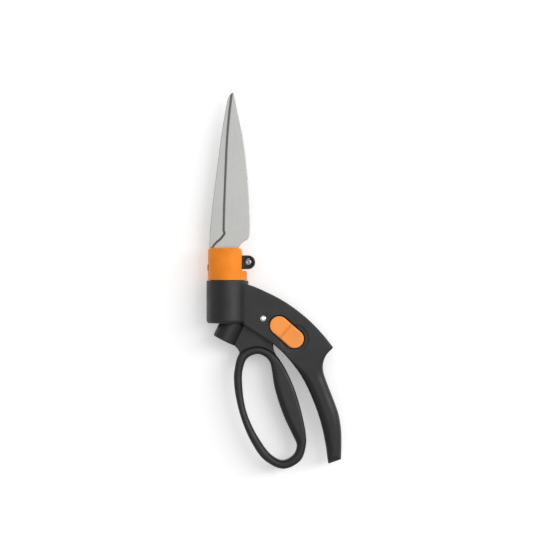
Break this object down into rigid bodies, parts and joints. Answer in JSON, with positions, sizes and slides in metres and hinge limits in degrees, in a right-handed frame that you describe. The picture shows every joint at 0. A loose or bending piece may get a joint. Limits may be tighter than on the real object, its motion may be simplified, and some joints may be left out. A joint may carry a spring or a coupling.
{
  "type": "grass shears",
  "caption": "One-handed grass shears with a turning blade head, a squeeze lever with a finger loop, and a sliding lock.",
  "frame": {"origin": "middle of the bounding box's underside, with the shears lying on their back", "axes": "+Y along the head axis towards the blade tips, +Z out of the face with the lock button, +X from the barrel towards the grip"},
  "size_m": [0.1214, 0.338, 0.0378],
  "materials": {
    "dark_plastic": "finely grained, slightly satin",
    "black_plastic": "smooth satin",
    "orange_plastic": "satin moulded",
    "white_plastic": "smooth",
    "blade_steel": "brushed, ground edges",
    "bright_steel": "polished",
    "spring_steel": "plain drawn",
    "black_rubber": "matt"
  },
  "bodies": {
    "root": {"front_shell": "dark_plastic", "rear_shell": "dark_plastic", "shell_screw_1": "bright_steel", "shell_screw_2": "bright_steel", "shell_screw_3": "bright_steel", "shell_screw_4": "bright_steel", "shell_screw_5": "bright_steel", "pivot_rivet": "bright_steel", "rivet_washer": "bright_steel", "detent_spring": "spring_steel"},
    "lever": {"lever": "dark_plastic", "lever_bush": "bright_steel", "ball_keeper": "spring_steel"},
    "lock": {"lock_button": "orange_plastic", "lock_slider": "white_plastic"},
    "head": {"head_collar": "orange_plastic", "head_core": "black_plastic", "blade_pin": "bright_steel", "pin_clip": "spring_steel", "fixed_blade": "blade_steel", "blade_rivet_1": "bright_steel", "blade_rivet_2": "bright_steel", "head_seal_ring": "black_rubber", "spring_seat": "bright_steel", "return_spring": "spring_steel"},
    "blade": {"moving_blade": "blade_steel", "drive_pin": "bright_steel"},
    "rod": {"pull_rod": "bright_steel", "drive_yoke": "spring_steel", "rod_nut": "bright_steel"}
  },
  "joints": [
    {"name": "lever_pivot", "type": "hinge", "parent": "root", "child": "lever", "pos_m": [-0.00962, -0.03381, 0.0189], "axis": [0, 0, -1], "range_deg": [0, 15]},
    {"name": "blade_pivot", "type": "hinge", "parent": "head", "child": "blade", "pos_m": [-0.02312, 0.01649, 0.0189], "axis": [0, 0, -1], "range_deg": [0, 25.65]},
    {"name": "rod_slide", "type": "slide", "parent": "head", "child": "rod", "axis": [0, 1, 0], "range_m": [0, 0.00843], "deforming": ["return_spring"]},
    {"name": "head_spin", "type": "hinge", "parent": "root", "child": "head", "pos_m": [-0.04182, 0.00009, 0.0189], "axis": [0, -1, 0], "continuous": true},
    {"name": "lock_slide", "type": "slide", "parent": "root", "child": "lock", "axis": [0.7549, -0.6558, 0], "range_m": [0, 0.0055]}
  ],
  "couplings": [
    {"joint": "blade_pivot", "follows": "lever_pivot", "ratio": 1.71},
    {"joint": "rod_slide", "follows": "lever_pivot", "m_per_rad": 0.0322}
  ]
}
